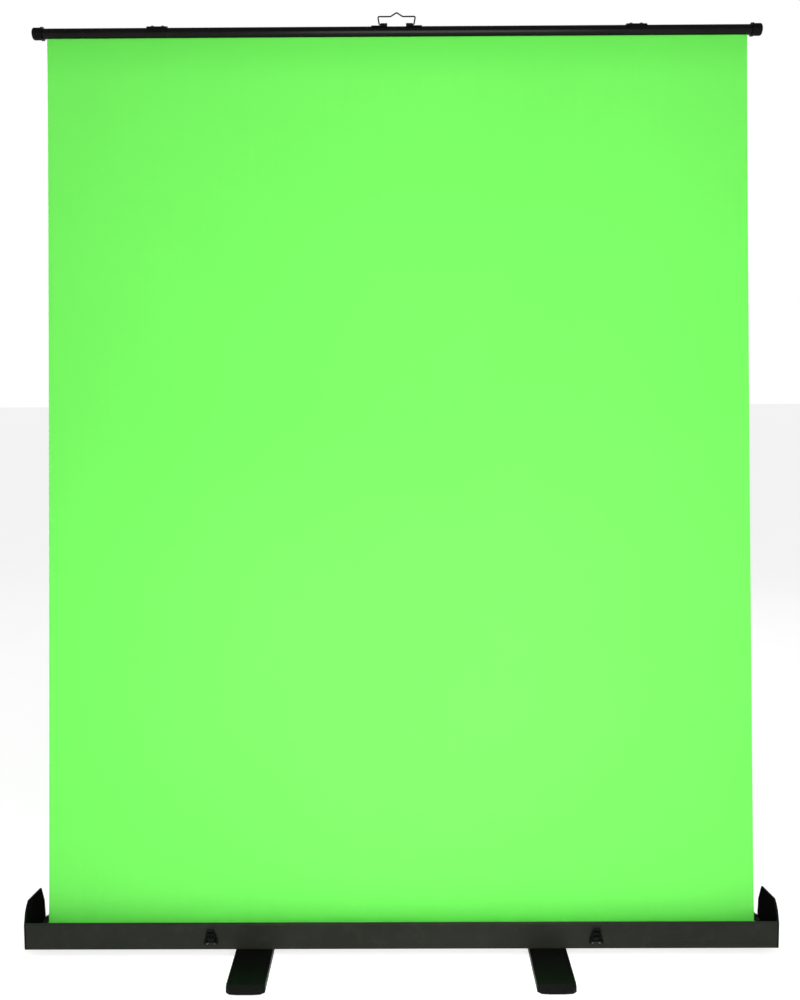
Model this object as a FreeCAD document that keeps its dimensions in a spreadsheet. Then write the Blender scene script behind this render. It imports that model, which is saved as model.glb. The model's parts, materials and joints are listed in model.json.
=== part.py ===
import FreeCAD, Part
import Sketcher
import math
import os

# A pull-up backdrop: a low case on two swivelling feet holds a roller of green fabric, and two
# crossing chains of folding arms lift the top bar that the fabric hangs from.
# X runs along the case, Y to the back and Z up. The floor is z = 0, below the case's centre.

doc = FreeCAD.newDocument("backdrop")
sheet = doc.addObject("Spreadsheet::Sheet", "Sizes")

drivers = {
    "caseLength": 1568,  # outside faces of the end plates
    "caseDepth": 115,
    "caseBase": 20,  # underside of the case above the floor
    "frontHeight": 56,
    "frontLean": 4,  # the front wall's foot stands back by this much
    "finHeight": 94,  # highest point of an end plate above the case's underside
    "skin": 2,  # channel wall
    "lidSkin": 1.8,
    "plateThick": 4,
    "hingeY": 54,
    "hingeZ": 27,
    "beadRadius": 2.6,
    "hookInner": 3,
    "hookOuter": 5,
    "lidOpen": 90,
    "barHeight": 1945,
    "barLength": 1552,
    "barRadius": 11,
    "barSkin": 1.2,
    "barY": -17,
    "capLength": 22,
    "fabricWidth": 1493,
    "fabricThick": 0.3,
    "fabricFront": -16.7,
    "rollerY": -33,
    "rollerZ": 46,
    "rollerRadius": 15,
    "wrapRadius": 16,
    "pivotX": 510,  # base and top pivots of the folding frame
    "pivotZ": 61,
    "pivotDrop": 20,  # top pivots below the bar's centre
    "elbowPast": 45,  # how far each elbow stands past the middle
    "armTall": 30,
    "armThick": 10,
    "armSkin": 1.2,
    "armGap": 2,
    "pinRadius": 4,
    "runningFit": 0.05,
    "anchorReach": 460,  # spring anchor pin from the elbow
    "footX": 305,
    "footLength": 355,
    "footWidth": 77,
    "footTop": 17,
    "padThick": 3,
    "latchX": 400,
    "latchShift": 5,  # both latches stand this much to the right
    "wireRadius": 1.5,
}


class Size:
    """A number together with the sheet expression it comes from."""

    def __init__(self, number, text):
        self.number = float(number)
        self.text = text

    def joined(self, other, sign, number):
        return Size(number, f"({self.text} {sign} {made(other).text})")

    def __add__(self, other):
        return self.joined(other, "+", self.number + made(other).number)

    def __sub__(self, other):
        return self.joined(other, "-", self.number - made(other).number)

    def __mul__(self, other):
        return self.joined(other, "*", self.number * made(other).number)

    def __truediv__(self, other):
        return self.joined(other, "/", self.number / made(other).number)

    def __neg__(self):
        return Size(-self.number, f"(0 - {self.text})")

    def __radd__(self, other):
        return made(other) + self

    def __rsub__(self, other):
        return made(other) - self

    def __rmul__(self, other):
        return made(other) * self


def made(value):
    return value if isinstance(value, Size) else Size(value, str(value))


for row, (alias, number) in enumerate(drivers.items(), start=1):
    sheet.set(f"A{row}", alias)
    sheet.set(f"B{row}", str(number))
    sheet.setAlias(f"B{row}", alias)
doc.recompute()

size = {alias: Size(number, f"Sizes.{alias}") for alias, number in drivers.items()}
nodes = []
zero = made(0)


def bind(feature, name, value):
    """Ties a property to the sheet, or sets it where it is a plain number."""
    if isinstance(value, Size):
        feature.setExpression(name, value.text)
    elif name.startswith(("Placement.", "AttachmentOffset.")):
        feature.setExpression(name, str(value))
    else:
        setattr(feature, name, value)


def place(feature, x=0, y=0, z=0, axis=None, angle=0):
    if axis is not None:
        feature.Placement = FreeCAD.Placement(FreeCAD.Vector(), FreeCAD.Rotation(FreeCAD.Vector(*axis), 1))
        bind(feature, "Placement.Rotation.Angle", angle)
    for name, value in (("x", x), ("y", y), ("z", z)):
        bind(feature, "Placement.Base." + name, value)


def keep(feature, label):
    """Makes a feature one of the pieces that are written out."""
    feature.Label = label
    nodes.append(feature)
    return feature


def group(label, pieces):
    compound = doc.addObject("Part::Compound", label)
    compound.Links = pieces
    return keep(compound, label)


def newBody(name):
    return doc.addObject("PartDesign::Body", name)


def onPlane(body, role, lift=0):
    """A sketch on one of the body's own origin planes: XY and YZ look along Z and X, XZ along -Y."""
    sketch = body.newObject("Sketcher::SketchObject", body.Name + "Sketch")
    flat = [f for f in body.Origin.OriginFeatures if f.Role == role + "_Plane"][0]
    sketch.AttachmentSupport = [(flat, "")]
    sketch.MapMode = "FlatFace"
    bind(sketch, "AttachmentOffset.Base.z", lift)
    return sketch


def pinned(sketch, line, end, point):
    """Holds a point of the sketch at two sizes measured from the sketch's origin."""
    for kind, value in zip(("DistanceX", "DistanceY"), point):
        index = sketch.addConstraint(Sketcher.Constraint(kind, -1, 1, line, end, made(value).number))
        if isinstance(value, Size):
            sketch.setExpression(f"Constraints[{index}]", value.text)


def addOutline(sketch, points, closed=True):
    first = sketch.GeometryCount
    flat = [FreeCAD.Vector(made(a).number, made(b).number, 0) for a, b in points]
    ends = flat[1:] + flat[:1] if closed else flat[1:]
    for start, end in zip(flat, ends):
        sketch.addGeometry(Part.LineSegment(start, end))
    count = len(ends)
    for k in range(count if closed else count - 1):
        sketch.addConstraint(Sketcher.Constraint("Coincident", first + k, 2, first + (k + 1) % count, 1))
    for k, point in enumerate(points[:count]):
        pinned(sketch, first + k, 1, point)
    if not closed:
        pinned(sketch, first + count - 1, 2, points[-1])
    return sketch


def addCircle(sketch, radius, centre=(0, 0)):
    middle = FreeCAD.Vector(made(centre[0]).number, made(centre[1]).number, 0)
    line = sketch.addGeometry(Part.Circle(middle, FreeCAD.Vector(0, 0, 1), made(radius).number))
    pinned(sketch, line, 3, centre)
    index = sketch.addConstraint(Sketcher.Constraint("Radius", line, made(radius).number))
    if isinstance(radius, Size):
        sketch.setExpression(f"Constraints[{index}]", radius.text)
    return sketch


def rectangle(low, high):
    return [low, (high[0], low[1]), high, (low[0], high[1])]


def extruded(kind, body, sketch, length, middle):
    feature = body.newObject("PartDesign::" + kind, body.Name + kind)
    feature.Profile = sketch
    bind(feature, "Length", length)
    feature.SideType = "Symmetric" if middle else "One side"
    body.Tip = feature
    return feature


def pad(body, sketch, length, middle=False):
    """Adds along the sketch's normal, or half to each side."""
    return extruded("Pad", body, sketch, length, middle)


def pocket(body, sketch, length, middle=True, along=False):
    """Cuts half to each side, against the sketch's normal, or along it."""
    feature = extruded("Pocket", body, sketch, length, middle)
    feature.Reversed = along
    doc.recompute()
    base = feature.BaseFeature.Shape.Volume
    if feature.Shape.Volume > base - 1e-3:
        raise ValueError(f"{feature.Name} cuts nothing")
    return feature


def turned(body, points, upright=False):
    """A solid of revolution from (along the axis, radius) points, about Z if upright and else about X."""
    sketch = onPlane(body, "XZ")
    outline = [(r, a) if upright else (a, r) for a, r in points]
    addOutline(sketch, outline)
    feature = body.newObject("PartDesign::Revolution", body.Name + "Turned")
    feature.Profile = sketch
    feature.ReferenceAxis = (sketch, ["V_Axis" if upright else "H_Axis"])
    feature.Angle = 360
    body.Tip = feature
    return feature


def headedPin(name, length, radius, headRadius, headThick):
    """A pin along Z, centred, with a flat head at each end outside its length."""
    body = newBody(name)
    half = length / 2
    turned(
        body,
        [(-half - headThick, 0), (-half - headThick, headRadius), (-half, headRadius), (-half, radius),
         (half, radius), (half, headRadius), (half + headThick, headRadius), (half + headThick, 0)],
        upright=True,
    )
    return body


def filleted(body, radius, wanted):
    """Rounds the body's edges whose middle point passes the test."""
    doc.recompute()
    tip = body.Tip
    names = []
    for k, edge in enumerate(tip.Shape.Edges, start=1):
        low, high = edge.ParameterRange
        if wanted(edge.valueAt((low + high) / 2), edge):
            names.append(f"Edge{k}")
    if not names:
        raise ValueError(f"{body.Name} has no such edge")
    feature = body.newObject("PartDesign::Fillet", body.Name + "Fillet")
    feature.Base = (tip, names)
    feature.Radius = radius
    body.Tip = feature


# Case: bent channel, end plates, screws

halfDepth = size["caseDepth"] / 2
floorTop = size["caseBase"] + size["skin"]
frontTop = size["caseBase"] + size["frontHeight"]
insideLength = size["caseLength"] - size["plateThick"] * 2
shoulderZ = frontTop - 4  # the front wall leans out to here and then in
wallTurn = -halfDepth + size["frontLean"]
screwPorts = [(-46, 25), (44, 24.6)]


def baseChannel():
    body = newBody("BaseChannel")
    sketch = onPlane(body, "YZ")
    skin = size["skin"]
    lipFront = size["hingeY"] - 6
    lipTop = size["hingeZ"] - 2.2
    addOutline(
        sketch,
        [
            (wallTurn, size["caseBase"]),
            (-halfDepth, shoulderZ),
            (-halfDepth + 1, frontTop),
            (-halfDepth + 1 + skin, frontTop),
            (-halfDepth + skin, shoulderZ),
            (wallTurn + skin - 0.15, floorTop),
            (lipFront, floorTop),
            (lipFront, lipTop - 0.6),
            (size["hingeY"] - 2.2, lipTop + 1.4),
            (size["hingeY"] - 0.6, lipTop),
            (lipFront + 2.6, floorTop - 0.4),
            (lipFront + 2.6, size["caseBase"]),
        ],
    )
    pad(body, sketch, insideLength, middle=True)
    bead = addCircle(onPlane(body, "YZ"), size["beadRadius"], (size["hingeY"], size["hingeZ"]))
    pad(body, bead, insideLength, middle=True)
    ports = onPlane(body, "YZ")
    for y, z in screwPorts:
        addCircle(ports, 3.6, (y, z))
    pad(body, ports, insideLength, middle=True)
    holes = onPlane(body, "YZ")
    for y, z in screwPorts:
        addCircle(holes, 1.6, (y, z))
    pocket(body, holes, size["caseLength"])
    bolts = onPlane(body, "XY", size["caseBase"])
    for side in (-1, 1):
        addCircle(bolts, 5, (size["footX"] * side, 0))
    pocket(body, bolts, 12)
    keep(body, "base_channel")


def endPlate(side, name):
    body = newBody("EndPlate" + name)
    lift = size["caseLength"] / 2 - size["plateThick"] if side > 0 else -size["caseLength"] / 2
    finTop = size["caseBase"] + size["finHeight"]
    outline = [
        (wallTurn, size["caseBase"]),
        (-halfDepth, shoulderZ),
        (-halfDepth + 6, frontTop + 21),
        (-halfDepth + 12.6, finTop - 8),
        (-halfDepth + 21, finTop),
        (halfDepth - 26, finTop - 10),
        (halfDepth - 7, frontTop - 9),
        (halfDepth - 1, size["caseBase"] + 8),
        (halfDepth - 2.5, size["caseBase"]),
    ]
    pad(body, addOutline(onPlane(body, "YZ", lift), outline), size["plateThick"])
    # A raised rim inside the channel locates the plate.
    rimLift = insideLength / 2 - 12 if side > 0 else -insideLength / 2
    rim = rectangle((-halfDepth + 16, floorTop), (-halfDepth + 90, floorTop + 6))
    pad(body, addOutline(onPlane(body, "YZ", rimLift), rim), 12)
    holes = onPlane(body, "YZ", lift)
    for y, z in screwPorts:
        addCircle(holes, 1.6, (y, z))
    pocket(body, holes, size["plateThick"] * 2 + 2)
    heads = onPlane(body, "YZ", size["caseLength"] / 2 * side)
    for y, z in screwPorts:
        addCircle(heads, 3.2, (y, z))
    pocket(body, heads, 4)
    outerFace = size["caseLength"].number / 2
    filleted(
        body,
        1.2,
        lambda p, e: abs(abs(p.x) - outerFace) < 0.01 and e.Curve.TypeId == "Part::GeomLine",
    )
    keep(body, "end_plate_" + name.lower())


def endScrews():
    screws = []
    for side in (-1, 1):
        for k, (y, z) in enumerate(screwPorts):
            body = newBody(f"EndScrew{k}" + ("Left" if side < 0 else "Right"))
            turned(body, [(0, 0), (0, 3.2), (-2, 3.2), (-2, 1.6), (-20, 1.6), (-20, 0)])
            place(body, size["caseLength"] / 2 * side, y, z, (0, 0, 1), 0 if side > 0 else 180)
            screws.append(body)
    group("end_plate_screws", screws)


# Feet

footHub = size["footTop"] - size["padThick"]
hubBoreDepth = 6
capNose = 9  # height of a foot's rounded tip above the floor


def foot(side, name):
    length = size["footLength"] - 24
    half = size["footWidth"] / 2
    bar = newBody("Foot" + name)
    profile = onPlane(bar, "XZ")
    addOutline(profile, rectangle((-half, size["padThick"]), (half, size["footTop"])))
    addOutline(
        profile,
        rectangle((-half + 1.5, size["padThick"] + 1.5), (half - 1.5, size["footTop"] - 1.5)),
    )
    pad(bar, profile, length, middle=True)
    pad(bar, addCircle(onPlane(bar, "XY", size["padThick"]), 15), footHub)
    pocket(bar, addCircle(onPlane(bar, "XY", size["padThick"]), 5.06), 60)
    pocket(bar, addCircle(onPlane(bar, "XY", size["padThick"]), 9.6), hubBoreDepth * 2)
    place(bar, size["footX"] * side)
    keep(bar, f"foot_{name.lower()}")

    caps = []
    for end in (-1, 1):
        cap = newBody(f"FootCap{name}" + ("Front" if end < 0 else "Rear"))
        tip = size["footLength"] / 2
        outline = [
            (-half, length / 2),
            (-half, tip - 8),
            (-half + 8, tip - 1.5),
            (-half + 24, tip),
            (half - 24, tip),
            (half - 8, tip - 1.5),
            (half, tip - 8),
            (half, length / 2),
        ]
        pad(cap, addOutline(onPlane(cap, "XY", size["padThick"]), outline), footHub)
        plug = rectangle((-half + 1.6, length / 2 - 15), (half - 1.6, length / 2))
        pad(cap, addOutline(onPlane(cap, "XY", size["padThick"] + 1.6), plug), footHub - 3.2)
        top = size["footTop"].number
        reach = size["footLength"].number / 2 - 11
        filleted(cap, 3, lambda p, e: abs(p.z - top) < 0.01 and p.y > reach)
        slope = [(tip - 12, size["footTop"] + 1), (tip + 1, size["footTop"] + 1), (tip + 1, capNose)]
        pocket(cap, addOutline(onPlane(cap, "YZ"), slope), size["footWidth"] + 10)
        place(cap, size["footX"] * side, 0, 0, (0, 0, 1), 180 if end < 0 else 0)
        caps.append(cap)
    group(f"foot_caps_{name.lower()}", caps)

    pads = []
    for end in (-1, 1):
        block = doc.addObject("Part::Box", f"FootPad{name}" + ("Front" if end < 0 else "Rear"))
        block.Length = 62
        block.Width = 28
        bind(block, "Height", size["padThick"])
        place(block, size["footX"] * side - 31, size["footLength"] / 2 * end - 14 - 24 * end)
        pads.append(block)
    group(f"foot_pads_{name.lower()}", pads)


def footBolts():
    bolts = []
    for side in (-1, 1):
        under = size["padThick"] + 1
        seat = size["padThick"] + hubBoreDepth - 0.3
        bolt = newBody("FootBolt" + ("Left" if side < 0 else "Right"))
        turned(
            bolt,
            [(under, 0), (under, 9), (seat, 9), (seat, 5), (floorTop, 5), (floorTop, 9.5),
             (floorTop + 4.5, 9.5), (floorTop + 6, 8), (floorTop + 6, 0)],
            upright=True,
        )
        place(bolt, size["footX"] * side)
        bolts.append(bolt)
        washer = newBody("FootWasher" + ("Left" if side < 0 else "Right"))
        ring = addCircle(onPlane(washer, "XY", size["footTop"] + 0.2), 17)
        addCircle(ring, 5)
        pad(washer, ring, size["caseBase"] - size["footTop"] - 0.2)
        place(washer, size["footX"] * side)
        bolts.append(washer)
    group("foot_pivot_bolts", bolts)


# Folding frame. Four arm planes lie behind one another, two for each chain.

planeStep = size["armThick"] + size["armGap"]
planes = {
    "upper_right": zero * planeStep,
    "lower_right": planeStep,
    "upper_left": planeStep * 2,
    "lower_left": planeStep * 3,
}
topPivotZ = size["barHeight"] - size["pivotDrop"]
elbowZ = (size["pivotZ"] + topPivotZ) / 2
armRun = size["pivotX"] + size["elbowPast"]
armRise = elbowZ - size["pivotZ"]
armLength = Size(
    math.hypot(armRun.number, armRise.number),
    f"sqrt({armRun.text} ^ 2 + {armRise.text} ^ 2)",
)
armTilt = Size(
    math.degrees(math.atan2(armRise.number, armRun.number)),
    f"(atan2({armRise.text}; {armRun.text}) / 1 deg)",
)
halfTall = size["armTall"] / 2
tongueThick = 3.4
slotWide = 4
shoulder = 26  # where the tube starts, from each pin


def armAngle(level, side):
    """Turn about +Y that lays an arm, drawn along +X from its case or bar pivot, onto its place."""
    if level == "lower":
        return -armTilt if side < 0 else -(180 - armTilt)
    return armTilt if side < 0 else 180 - armTilt


def onArm(feature, level, side, away=0):
    """Puts a feature drawn in the arm's own frame in place, away mm behind the arm's plane."""
    plane = planes[level + ("_left" if side < 0 else "_right")]
    height = size["pivotZ"] if level == "lower" else topPivotZ
    place(feature, size["pivotX"] * side, plane + away, height, (0, 1, 0), armAngle(level, side))


def arm(level, side):
    name = level.title() + ("Left" if side < 0 else "Right")
    label = f"{level}_arm_" + ("left" if side < 0 else "right")
    skin = size["armSkin"]
    halfThick = size["armThick"] / 2
    inner = (halfThick - skin, halfTall - skin)

    tube = newBody("Tube" + name)
    profile = onPlane(tube, "YZ", shoulder)
    addOutline(profile, rectangle((-halfThick, -halfTall), (halfThick, halfTall)))
    addOutline(profile, rectangle((-inner[0], -inner[1]), inner))
    pad(tube, profile, armLength - shoulder * 2)
    anchorX = armLength - size["anchorReach"]
    pocket(tube, addCircle(onPlane(tube, "XZ"), 3, (anchorX, 0)), 30)
    onArm(tube, level, side)
    keep(tube, label)

    # The fork holds a plate tongue at the case or bar pivot.
    fork = newBody("Fork" + name)
    block = rectangle((0, -halfTall), (shoulder, halfTall))
    pad(fork, addOutline(onPlane(fork, "XZ"), block), size["armThick"], middle=True)
    pad(fork, addCircle(onPlane(fork, "XZ"), halfTall), size["armThick"], middle=True)
    shank = rectangle((-inner[0], -inner[1]), inner)
    pad(fork, addOutline(onPlane(fork, "YZ", shoulder), shank), 30)
    slot = rectangle((-20, -20), (17, 20))
    pocket(fork, addOutline(onPlane(fork, "XZ"), slot), slotWide)
    openPivot = level == "upper" and side > 0
    bore = size["pinRadius"] + (0.3 if openPivot else size["runningFit"])
    pocket(fork, addCircle(onPlane(fork, "XZ"), bore), 30)
    onArm(fork, level, side)

    # The eye laps the chain's other arm at the elbow; its rivet head is sunk in the outer face.
    eye = newBody("Eye" + name)
    block = rectangle((armLength - shoulder, -halfTall), (armLength, halfTall))
    pad(eye, addOutline(onPlane(eye, "XZ"), block), size["armThick"], middle=True)
    rounded = addCircle(onPlane(eye, "XZ"), halfTall, (armLength, 0))
    pad(eye, rounded, size["armThick"], middle=True)
    shank = rectangle((-inner[0], -inner[1]), inner)
    pad(eye, addOutline(onPlane(eye, "YZ", armLength - shoulder - 30), shank), 30)
    fit = size["runningFit"] if level == "upper" else 0
    pocket(eye, addCircle(onPlane(eye, "XZ"), size["pinRadius"] + fit, (armLength, 0)), 30)
    outer = halfThick if level == "upper" else -halfThick
    sunk = addCircle(onPlane(eye, "XZ", outer), 7.5, (armLength, 0))
    pocket(eye, sunk, 4.4)
    onArm(eye, level, side)
    group(label + "_fittings", [fork, eye])

    spring = newBody("Spring" + name)
    coil = addCircle(onPlane(spring, "YZ", anchorX + 4), 3.2)
    addCircle(coil, 2.4)
    pad(spring, coil, 300)
    onArm(spring, level, side)

    anchor = headedPin("Anchor" + name, size["armThick"], 3, 5, 0.6)
    turn = armAngle(level, side)
    cosine = Size(math.cos(math.radians(turn.number)), f"cos({turn.text} * 1 deg)")
    sine = Size(math.sin(math.radians(turn.number)), f"sin({turn.text} * 1 deg)")
    plane = planes[level + ("_left" if side < 0 else "_right")]
    height = size["pivotZ"] if level == "lower" else topPivotZ
    place(
        anchor,
        size["pivotX"] * side + anchorX * cosine,
        plane,
        height - anchorX * sine,
        (1, 0, 0),
        90,
    )
    keep(spring, label + "_spring")
    keep(anchor, label + "_anchor")


def elbowPin(side):
    name = "Left" if side < 0 else "Right"
    front = planes["upper_" + name.lower()] - size["armThick"] / 2
    back = planes["lower_" + name.lower()] + size["armThick"] / 2
    gap = back - size["armThick"]  # front face of the lower arm
    radius = size["pinRadius"]
    body = newBody("ElbowPin" + name)
    # The axis is Z here, and turning the body about X lays it along Y.
    turned(
        body,
        [(front, 0), (front, 7), (front + 1.8, 7), (front + 1.8, radius), (gap - 1.8, radius),
         (gap - 1.8, 9), (gap, 9), (gap, radius), (back - 2.2, radius), (back - 2.2, 7),
         (back - 0.4, 7), (back - 0.4, 0)],
        upright=True,
    )
    place(body, -size["elbowPast"] * side, 0, elbowZ, (1, 0, 0), -90)
    keep(body, "elbow_pin_" + name.lower())


def pivotPins(label, level, height):
    pins = []
    for side in (-1, 1):
        name = label.title().replace("_", "") + ("Left" if side < 0 else "Right")
        pin = headedPin(name, size["armThick"] + 0.4, size["pinRadius"], 6, 0.6)
        plane = planes[level + ("_left" if side < 0 else "_right")]
        place(pin, size["pivotX"] * side, plane, height, (1, 0, 0), 90)
        pins.append(pin)
    group(label, pins)


def baseBracket(side):
    name = "Left" if side < 0 else "Right"
    plane = planes["lower_" + name.lower()]
    body = newBody("ArmBase" + name)
    back = plane + (3.5 if side < 0 else 20)
    sole = rectangle((-35, plane - 20), (35, back))
    pad(body, addOutline(onPlane(body, "XY", floorTop), sole), 3)
    tongue = rectangle((-13, floorTop + 1), (13, size["pivotZ"]))
    sheetLift = -plane
    pad(body, addOutline(onPlane(body, "XZ", sheetLift), tongue), tongueThick, middle=True)
    ear = addCircle(onPlane(body, "XZ", sheetLift), 13, (0, size["pivotZ"]))
    pad(body, ear, tongueThick, middle=True)
    bore = addCircle(onPlane(body, "XZ", sheetLift), size["pinRadius"], (0, size["pivotZ"]))
    pocket(body, bore, 30)
    place(body, size["pivotX"] * side)
    keep(body, "arm_base_" + name.lower())


def baseRivets():
    rivets = []
    for side in (-1, 1):
        plane = planes["lower_left" if side < 0 else "lower_right"]
        for offset in (-26, 26):
            rivet = newBody(f"BaseRivet{side + 1}{offset + 26}")
            top = floorTop + 3
            turned(rivet, [(top, 0), (top, 4), (top + 1.4, 3), (top + 1.4, 0)], upright=True)
            place(rivet, size["pivotX"] * side + offset, plane - 10)
            rivets.append(rivet)
    return rivets


# Top bar

def topBar():
    body = newBody("TopBar")
    profile = addCircle(onPlane(body, "YZ"), size["barRadius"])
    addCircle(profile, size["barRadius"] - size["barSkin"])
    pad(body, profile, size["barLength"] - size["capLength"] * 2, middle=True)
    slit = size["fabricFront"] + size["fabricThick"] / 2 - size["barY"]
    low = rectangle((slit - 0.8, -size["barRadius"] - 1), (slit + 0.8, -size["barRadius"] + 3))
    pocket(body, addOutline(onPlane(body, "YZ"), low), size["barLength"])
    place(body, 0, size["barY"], size["barHeight"])
    keep(body, "top_bar")


def barCap(side):
    name = "Left" if side < 0 else "Right"
    body = newBody("BarCap" + name)
    mouth = size["barLength"] / 2 - size["capLength"]
    tip = size["barLength"] / 2
    plug = size["barRadius"] - size["barSkin"]
    turned(
        body,
        [(mouth - 8, 0), (mouth - 8, plug), (mouth, plug), (mouth, 14.5), (mouth + 4, 14.5),
         (mouth + 5.5, 13), (tip, 13), (tip, 0)],
    )
    end = size["barLength"].number / 2
    filleted(body, 3.5, lambda p, e: abs(p.x - end) < 0.01)
    place(body, 0, size["barY"], size["barHeight"], (0, 0, 1), 0 if side > 0 else 180)
    keep(body, "top_bar_cap_" + name.lower())


def topBracket(side):
    """A saddle over the bar, a web behind it and a tongue down to the top pivot."""
    name = "Left" if side < 0 else "Right"
    width = 43
    body = newBody("TopBracket" + name)
    back = planes["upper_" + name.lower()] - size["barY"] + tongueThick / 2
    outer = size["barRadius"] + 3
    pad(body, addCircle(onPlane(body, "YZ"), outer), width, middle=True)
    web = rectangle((0, -1), (back, 3))
    pad(body, addOutline(onPlane(body, "YZ"), web), width, middle=True)
    pocket(body, addCircle(onPlane(body, "YZ"), size["barRadius"]), width + 10)
    under = rectangle((-20, -20), (size["barRadius"] + 3.2, -1))
    pocket(body, addOutline(onPlane(body, "YZ"), under), width + 10)
    lift = -back + tongueThick / 2
    tongue = rectangle((-13, -size["pivotDrop"]), (13, 3))
    pad(body, addOutline(onPlane(body, "XZ", lift), tongue), tongueThick, middle=True)
    ear = addCircle(onPlane(body, "XZ", lift), 13, (0, -size["pivotDrop"]))
    pad(body, ear, tongueThick, middle=True)
    bore = addCircle(onPlane(body, "XZ", lift), size["pinRadius"], (0, -size["pivotDrop"]))
    pocket(body, bore, tongueThick + 1)
    place(body, size["pivotX"] * side, size["barY"], size["barHeight"])
    keep(body, "top_bracket_" + name.lower())


def bracketScrews():
    screws = []
    top = size["barHeight"] + size["barRadius"] + 3
    for side in (-1, 1):
        for offset in (-11, 11):
            screw = newBody(f"BracketScrew{side + 1}{offset + 11}")
            turned(screw, [(top, 0), (top, 4), (top + 1, 3.6), (top + 2, 2), (top + 2, 0)], upright=True)
            place(screw, size["pivotX"] * side + offset, size["barY"])
            screws.append(screw)
    group("top_bracket_screws", screws)


def fabricSpline():
    rod = doc.addObject("Part::Cylinder", "FabricSpline")
    rod.Radius = 3
    bind(rod, "Height", size["fabricWidth"] - 4)
    low = size["barHeight"] - size["barRadius"] + size["barSkin"] + 3.1
    place(rod, 2 - size["fabricWidth"] / 2, size["barY"], low, (0, 1, 0), 90)
    keep(rod, "fabric_spline")


# Hanger: two saddle lugs on the bar and a wire that folds over

lugInner = 20
lugOuter = 54
hangerZ = size["barHeight"] + size["barRadius"] + 4.5
knuckleRadius = 2.9
knuckleWide = 14
wireFit = 0.1


def hangerLugs():
    lugs = []
    for side in (-1, 1):
        body = newBody("HangerLug" + ("Left" if side < 0 else "Right"))
        lift = lugInner if side > 0 else -lugOuter
        length = lugOuter - lugInner
        axis = hangerZ - size["barHeight"]
        saddle = addCircle(onPlane(body, "YZ", lift), size["barRadius"] + 2)
        pad(body, saddle, length)
        post = rectangle((-1.2, size["barRadius"] + 1), (1.2, axis))
        knuckleLift = lugInner if side > 0 else -lugInner - knuckleWide
        pad(body, addOutline(onPlane(body, "YZ", knuckleLift), post), knuckleWide)
        knuckle = addCircle(onPlane(body, "YZ", knuckleLift), knuckleRadius, (0, axis))
        pad(body, knuckle, knuckleWide)
        pocket(body, addCircle(onPlane(body, "YZ"), size["barRadius"]), 200)
        away = rectangle((-30, -30), (30, size["barRadius"] - 3.5))
        pocket(body, addOutline(onPlane(body, "YZ"), away), 200)
        eye = addCircle(onPlane(body, "YZ"), size["wireRadius"] + wireFit, (0, axis))
        pocket(body, eye, 200)
        place(body, 0, size["barY"], size["barHeight"])
        lugs.append(body)
    group("hanger_lugs", lugs)


def roundedPath(points, radius):
    """Straight runs through the points, each corner replaced by a tangent arc."""
    edges = []
    start = points[0]
    for before, corner, after in zip(points, points[1:], points[2:]):
        into = (corner - before).normalize()
        out = (after - corner).normalize()
        half = into.getAngle(out) / 2
        back = radius * math.tan(half)
        first = corner - into * back
        last = corner + out * back
        middle = corner + (out - into).normalize() * (radius / math.cos(half) - radius)
        edges.append(Part.LineSegment(start, first).toShape())
        edges.append(Part.Arc(first, middle, last).toShape())
        start = last
    edges.append(Part.LineSegment(start, points[-1]).toShape())
    return Part.Wire(edges)


def bentWire(name, points, radius, bend):
    path = roundedPath(points, bend)
    first = path.Edges[0]
    ring = Part.Wire(Part.makeCircle(radius, points[0], first.tangentAt(first.FirstParameter)))
    feature = doc.addObject("Part::Feature", name)
    feature.Shape = path.makePipeShell([ring], True, True)
    return feature


def hangerWire():
    side = [(21.5, 0), (37, 0), (40, 17), (13, 17)]
    peak = (0, 25.3)
    outline = [(-x, z) for x, z in side] + [peak] + side[::-1]
    points = [FreeCAD.Vector(x, 0, z) for x, z in outline]
    wire = bentWire("HangerWire", points, size["wireRadius"].number, 2.6)
    place(wire, 0, size["barY"], hangerZ)
    keep(wire, "hanger_wire")


# Roller and fabric

rollerHalf = size["fabricWidth"] / 2 + 2
bracketFace = rollerHalf + 4
bracketSole = 14


def roller():
    tube = newBody("RollerTube")
    inside = size["rollerRadius"] - 1.2
    profile = addCircle(onPlane(tube, "YZ"), size["rollerRadius"])
    addCircle(profile, inside)
    pad(tube, profile, rollerHalf * 2, middle=True)
    place(tube, 0, size["rollerY"], size["rollerZ"])
    keep(tube, "roller_tube")

    wrap = newBody("FabricWrap")
    profile = addCircle(onPlane(wrap, "YZ"), size["wrapRadius"])
    addCircle(profile, size["rollerRadius"])
    pad(wrap, profile, size["fabricWidth"], middle=True)
    place(wrap, 0, size["rollerY"], size["rollerZ"])
    keep(wrap, "fabric_wrap")

    plugs = []
    for side, name in ((-1, "Idle"), (1, "Spring")):
        plug = newBody(name + "Plug")
        bore = size["pinRadius"] + size["runningFit"]
        turned(
            plug,
            [(rollerHalf - 22, bore), (rollerHalf - 22, inside), (rollerHalf, inside),
             (rollerHalf, size["rollerRadius"]), (rollerHalf + 2, size["rollerRadius"] - 1),
             (rollerHalf + 2, bore)],
        )
        place(plug, 0, size["rollerY"], size["rollerZ"], (0, 0, 1), 0 if side > 0 else 180)
        plugs.append(plug)
    group("roller_plugs", plugs)


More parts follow.
